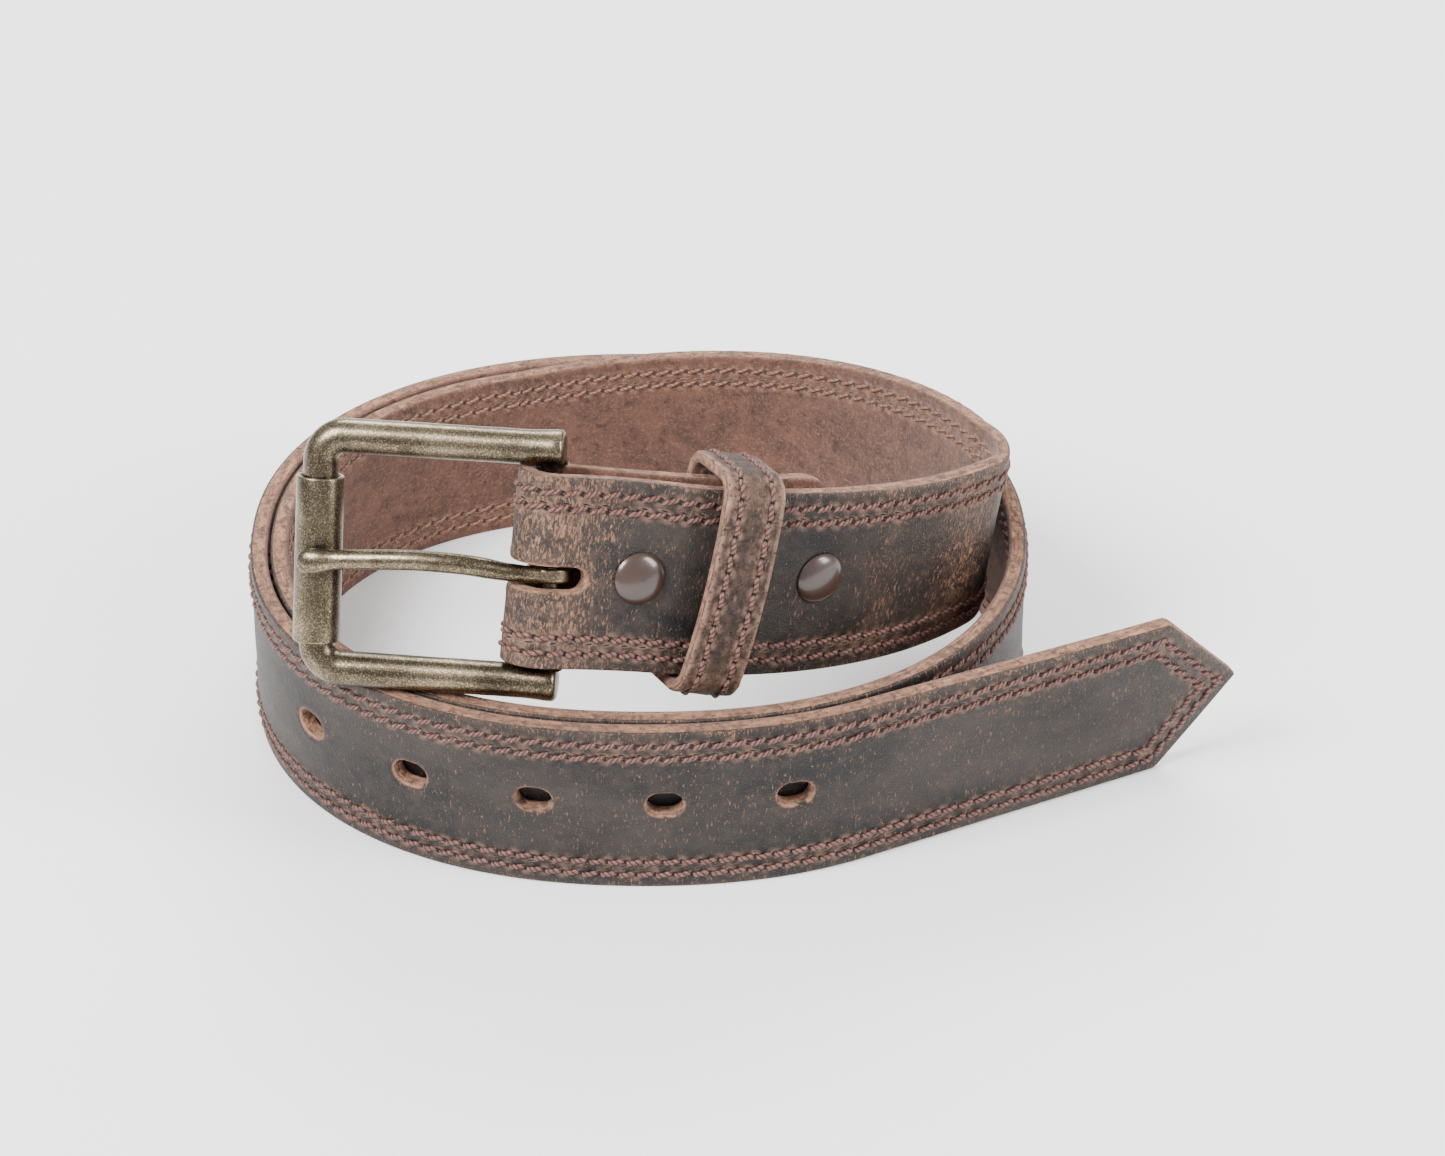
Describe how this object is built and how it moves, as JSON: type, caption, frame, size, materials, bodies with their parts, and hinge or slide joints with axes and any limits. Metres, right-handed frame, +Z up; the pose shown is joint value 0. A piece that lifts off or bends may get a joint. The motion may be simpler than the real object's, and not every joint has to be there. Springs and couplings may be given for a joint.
{
  "type": "leather belt",
  "caption": "Leather belt with a pointed tip, oblong holes, twin stitch rows, roller buckle, keeper loop and two snaps, coiled on its edge.",
  "frame": {"origin": "on the surface that the coiled belt stands on, under the middle of its box", "axes": "+Z up, +X towards the pointed tip, -Y towards the side that shows the buckle"},
  "size_m": [0.1985, 0.1332, 0.0873],
  "materials": {
    "strap_leather": "waxed pull-up leather, dark grey-brown, scuffed lighter, with pale cut edges and a brown suede back",
    "keeper_leather": "the same leather, worn to a pinkish tan",
    "thread": "thick burgundy-brown twisted thread",
    "antique_brass": "antiqued, speckled dark, brighter on worn edges",
    "snap_enamel": "glossy taupe enamel",
    "snap_brass": "dull plated",
    "steel_wire": "flat steel wire"
  },
  "bodies": {
    "strap": {"strap": "strap_leather", "thread_outer_needle": "thread", "thread_outer_bobbin": "thread", "thread_inner_needle": "thread", "thread_inner_bobbin": "thread", "snap_cap_buckle_side": "snap_enamel", "snap_socket_buckle_side": "snap_brass", "snap_stud_buckle_side": "snap_brass", "snap_post_buckle_side": "snap_brass", "snap_cap_tip_side": "snap_enamel", "snap_socket_tip_side": "snap_brass", "snap_stud_tip_side": "snap_brass", "snap_post_tip_side": "snap_brass"},
    "buckle": {"buckle_frame": "antique_brass"},
    "roller": {"roller": "antique_brass"},
    "prong": {"prong": "antique_brass"},
    "keeper": {"keeper_loop": "keeper_leather", "keeper_staple": "steel_wire", "keeper_thread_buckle_side": "thread", "keeper_thread_tip_side": "thread"}
  },
  "joints": [
    {"name": "buckle_swivel", "type": "hinge", "parent": "strap", "child": "buckle", "pos_m": [-0.0367, -0.04561, 0.06297], "axis": [0.0412, 0.416, 0.9084], "range_deg": [0, 55]},
    {"name": "prong_hinge", "type": "hinge", "parent": "buckle", "child": "prong", "pos_m": [-0.0367, -0.04561, 0.06297], "axis": [0.0412, 0.416, 0.9084], "range_deg": [0, 35]},
    {"name": "roller_spin", "type": "hinge", "parent": "buckle", "child": "roller", "pos_m": [-0.08178, -0.0395, 0.06222], "axis": [0.0412, 0.416, 0.9084], "continuous": true},
    {"name": "keeper_slide", "type": "slide", "parent": "strap", "child": "keeper", "axis": [0.9056, 0.3353, -0.2598], "range_m": [-0.005, 0.005]}
  ]
}
